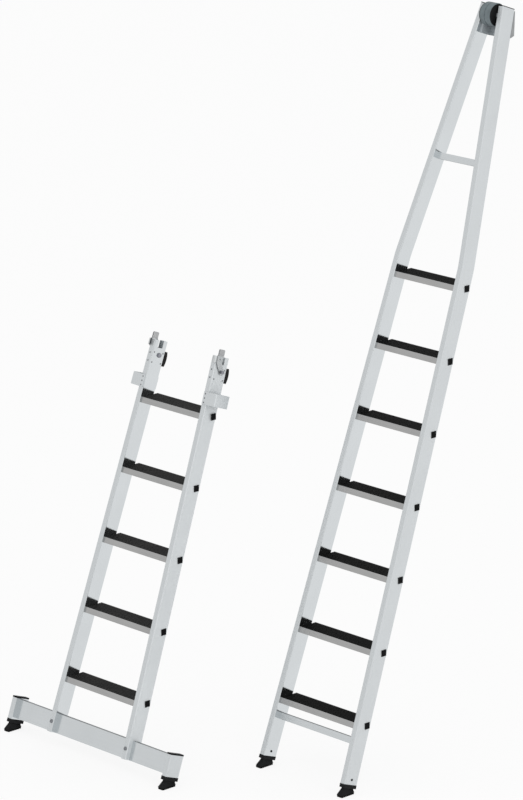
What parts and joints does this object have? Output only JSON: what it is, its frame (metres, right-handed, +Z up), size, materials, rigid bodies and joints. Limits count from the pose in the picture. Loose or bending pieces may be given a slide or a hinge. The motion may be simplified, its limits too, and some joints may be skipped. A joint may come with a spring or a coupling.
{
  "type": "sectional plug-in ladder",
  "caption": "Two-section plug-in step ladder in aluminium: a lower section on a cross traverse with sprung coupling latches, and an upper section that tapers to a wall roller.",
  "frame": {"origin": "on the floor, under the middle of the box round both sections", "axes": "+Z up, +X to the right when facing the ladder, +Y from the front of the ladder towards the wall it leans on"},
  "size_m": [1.4414, 1.5032, 2.8559],
  "materials": {
    "anodised_aluminium": "clear anodised, satin",
    "tread_aluminium": "clear anodised, satin, a shade darker than the stiles",
    "tread_grip": "matt, ribbed along the tread",
    "black_plastic": "moulded, satin",
    "sole_rubber": "matt",
    "insert_plastic": "moulded, hidden inside other pieces",
    "wall_pad_rubber": "matt",
    "zinc_steel": "zinc plated",
    "fork_plastic": "grey moulded plastic",
    "roller_rubber": "grey, matt, non-marking",
    "wedge_rubber": "grey, matt, non-marking"
  },
  "bodies": {
    "lower_section": {"lower_stile_left": "anodised_aluminium", "lower_stile_right": "anodised_aluminium", "traverse_leg_left": "anodised_aluminium", "traverse_leg_right": "anodised_aluminium", "lower_foot_left": "black_plastic", "lower_foot_right": "black_plastic", "lower_sole_left": "sole_rubber", "lower_sole_right": "sole_rubber", "head_insert_left": "insert_plastic", "head_insert_right": "insert_plastic", "guide_bracket_left": "anodised_aluminium", "guide_bracket_right": "anodised_aluminium", "wall_pad_left": "wall_pad_rubber", "wall_pad_right": "wall_pad_rubber", "lower_tread_1": "tread_aluminium", "lower_tread_2": "tread_aluminium", "lower_tread_3": "tread_aluminium", "lower_tread_4": "tread_aluminium", "lower_tread_5": "tread_aluminium", "lower_tread_pads": "tread_grip", "lower_tread_plugs": "black_plastic", "traverse": "anodised_aluminium", "traverse_leg_caps": "black_plastic", "traverse_bolts": "zinc_steel", "traverse_nuts": "zinc_steel", "head_rivets": "zinc_steel", "bracket_rivets": "zinc_steel", "latch_bolts": "zinc_steel", "latch_nuts": "zinc_steel", "latch_springs": "zinc_steel"},
    "left_latch": {"latch_left": "zinc_steel"},
    "right_latch": {"latch_right": "zinc_steel"},
    "upper_section": {"upper_stile_left": "anodised_aluminium", "upper_stile_right": "anodised_aluminium", "upper_foot_left": "black_plastic", "upper_foot_right": "black_plastic", "upper_sole_left": "sole_rubber", "upper_sole_right": "sole_rubber", "upper_tread_1": "tread_aluminium", "upper_tread_2": "tread_aluminium", "upper_tread_3": "tread_aluminium", "upper_tread_4": "tread_aluminium", "upper_tread_5": "tread_aluminium", "upper_tread_6": "tread_aluminium", "upper_tread_7": "tread_aluminium", "upper_tread_pads": "tread_grip", "upper_tread_plugs": "black_plastic", "upper_foot_pins": "black_plastic", "coupling_bar": "anodised_aluminium", "brace_bar": "anodised_aluminium", "stile_top_caps": "black_plastic", "roller_fork": "fork_plastic", "roller_axle": "zinc_steel", "wall_wedge": "wedge_rubber"},
    "roller": {"roller_tyre": "roller_rubber", "roller_core": "black_plastic", "roller_discs": "black_plastic", "roller_bushes": "insert_plastic"}
  },
  "joints": [
    {"name": "left_latch_hinge", "type": "hinge", "parent": "lower_section", "child": "left_latch", "pos_m": [-0.44698, -0.18771, 1.47015], "axis": [0.9996, -0.0089, -0.0253], "range_deg": [0, 45], "stiffness_Nm_per_rad": 0.25, "springref_deg": -40.11},
    {"name": "right_latch_hinge", "type": "hinge", "parent": "lower_section", "child": "right_latch", "pos_m": [-0.07692, -0.18771, 1.47015], "axis": [0.9996, 0.0089, 0.0253], "range_deg": [0, 45], "stiffness_Nm_per_rad": 0.25, "springref_deg": -40.11},
    {"name": "upper_section_lift", "type": "slide", "parent": "lower_section", "child": "upper_section", "axis": [0, 0.3338, 0.9426], "range_m": [0, 0.1]},
    {"name": "roller_spin", "type": "hinge", "parent": "upper_section", "child": "roller", "pos_m": [0.48705, 0.68875, 2.81145], "axis": [1, 0, 0], "continuous": true}
  ]
}
